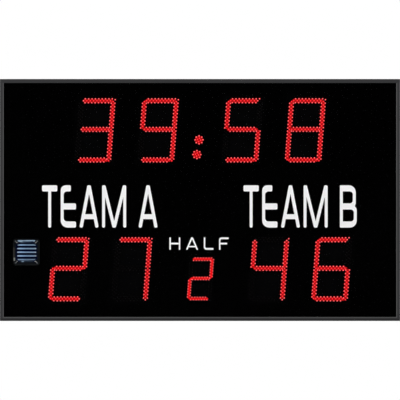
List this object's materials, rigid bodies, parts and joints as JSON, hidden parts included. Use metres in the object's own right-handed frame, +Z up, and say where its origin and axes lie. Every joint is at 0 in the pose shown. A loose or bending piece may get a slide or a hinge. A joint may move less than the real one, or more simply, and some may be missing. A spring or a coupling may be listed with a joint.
{
  "type": "electronic scoreboard",
  "caption": "Wall-hung LED scoreboard: slim metal frame, smoked window, slanted red segment digits, louvred horn, and a connector bay with a flap below.",
  "frame": {"origin": "centre of the back face of the wall rail, which lies on the wall", "axes": "+X to the right as the display is read, +Y into the wall, +Z up; the display faces -Y"},
  "size_m": [1.5, 0.1159, 0.9074],
  "materials": {
    "case_grey": "fine satin powder coat, dark grey",
    "rear_sheet": "textured dark grey coat",
    "smoked_window": "smoked, satin polycarbonate",
    "black_rubber": "matt",
    "black_circuit": "black solder mask",
    "zinc_sheet": "zinc plated",
    "mill_aluminium": "mill finish",
    "black_plastic": "moulded, slight gloss",
    "louvre_blue": "glossy blue grey",
    "grey_plastic": "moulded",
    "bright_steel": "bright zinc or nickel",
    "green_circuit": "green solder mask",
    "switch_red": "glossy",
    "lead_black": "smooth jacket",
    "ribbon_grey": "ribbed jacket",
    "led_red": "lit LED",
    "label_white": "printed film"
  },
  "bodies": {
    "case": {"clock_colon": "black_circuit", "clock_digit_minutes": "black_circuit", "clock_digit_seconds": "black_circuit", "clock_digit_ten_minutes": "black_circuit", "clock_digit_ten_seconds": "black_circuit", "clock_rail_lower": "mill_aluminium", "clock_rail_upper": "mill_aluminium", "clock_ribbon": "ribbon_grey", "connector_bay": "zinc_sheet", "controller_board": "green_circuit", "corner_cleat_bottom_left": "zinc_sheet", "corner_cleat_bottom_right": "zinc_sheet", "corner_cleat_top_left": "zinc_sheet", "corner_cleat_top_right": "zinc_sheet", "data_lead": "lead_black", "data_socket": "grey_plastic", "flap_hinge_pin": "bright_steel", "flap_magnet": "bright_steel", "frame_bottom": "case_grey", "frame_left": "case_grey", "frame_right": "case_grey", "frame_top": "case_grey", "front_window": "smoked_window", "hanger_rail": "mill_aluminium", "horn_bezel": "black_plastic", "horn_driver": "grey_plastic", "horn_flare": "black_plastic", "horn_lead": "lead_black", "horn_louvre": "louvre_blue", "horn_screw_bottom_left": "bright_steel", "horn_screw_bottom_right": "bright_steel", "horn_screw_top_left": "bright_steel", "horn_screw_top_right": "bright_steel", "mains_lead": "lead_black", "pairing_button_housing": "black_plastic", "period_bracket": "zinc_sheet", "period_digit": "black_circuit", "power_inlet": "black_plastic", "power_lead": "lead_black", "power_supply": "mill_aluminium", "power_switch_housing": "black_plastic", "radio_receiver": "grey_plastic", "rear_panel": "rear_sheet", "rear_stiffener_left": "zinc_sheet", "rear_stiffener_right": "zinc_sheet", "score_digit_left_tens": "black_circuit", "score_digit_left_units": "black_circuit", "score_digit_right_tens": "black_circuit", "score_digit_right_units": "black_circuit", "score_rail_lower": "mill_aluminium", "score_rail_upper": "mill_aluminium", "score_ribbon": "ribbon_grey", "wall_buffer_left": "black_rubber", "wall_buffer_right": "black_rubber", "wall_rail": "mill_aluminium", "window_gasket": "black_rubber"},
    "flap": {"bay_flap": "case_grey"},
    "drawer": {"fuse_drawer": "black_plastic"},
    "rocker": {"power_rocker": "switch_red"},
    "button": {"pairing_button": "switch_red"}
  },
  "joints": [
    {"name": "flap_hinge", "type": "hinge", "parent": "case", "child": "flap", "pos_m": [0.5, -0.0297, -0.752], "axis": [1, 0, 0], "range_deg": [0, 105]},
    {"name": "drawer_slide", "type": "slide", "parent": "case", "child": "drawer", "axis": [0, 0, -1], "range_m": [0, 0.014]},
    {"name": "rocker_pivot", "type": "hinge", "parent": "case", "child": "rocker", "pos_m": [0.492, -0.05, -0.6705], "axis": [0, 1, 0], "range_deg": [0, 20]},
    {"name": "button_press", "type": "slide", "parent": "case", "child": "button", "axis": [0, 0, 1], "range_m": [0, 0.0018], "stiffness_N_per_m": 600, "springref_m": -0.0008}
  ]
}
